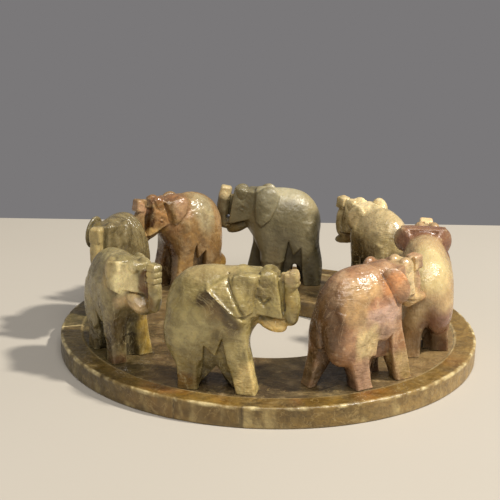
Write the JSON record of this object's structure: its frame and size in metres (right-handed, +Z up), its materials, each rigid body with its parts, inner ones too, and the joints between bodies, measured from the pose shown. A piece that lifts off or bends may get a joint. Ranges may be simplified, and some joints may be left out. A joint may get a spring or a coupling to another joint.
{
  "type": "soapstone elephant ring sculpture",
  "caption": "Carved stone elephants with raised trunks, walking nose to tail round a flat ring base with a turned rim and an open centre.",
  "frame": {"origin": "centre of the ring base's underside, on the surface it stands on", "axes": "+Z up out of the ring. The picture looks along +Y from above the front, with +X to the right. The elephants walk anticlockwise seen from above."},
  "size_m": [0.15, 0.15, 0.0471],
  "materials": {
    "base_soapstone": "polished rim, sawn matt floor",
    "olive_soapstone": "polished",
    "rose_soapstone": "polished",
    "cream_soapstone": "polished",
    "honey_soapstone": "polished",
    "slate_soapstone": "polished",
    "russet_soapstone": "polished",
    "moss_soapstone": "polished",
    "fawn_soapstone": "polished"
  },
  "bodies": {
    "root": {"base_ring": "base_soapstone", "elephant_front_left": "olive_soapstone", "elephant_front_right": "rose_soapstone", "elephant_right": "cream_soapstone", "elephant_back_right": "honey_soapstone", "elephant_back": "slate_soapstone", "elephant_back_left": "russet_soapstone", "elephant_left": "moss_soapstone", "elephant_left_front": "fawn_soapstone"}
  },
  "joints": []
}
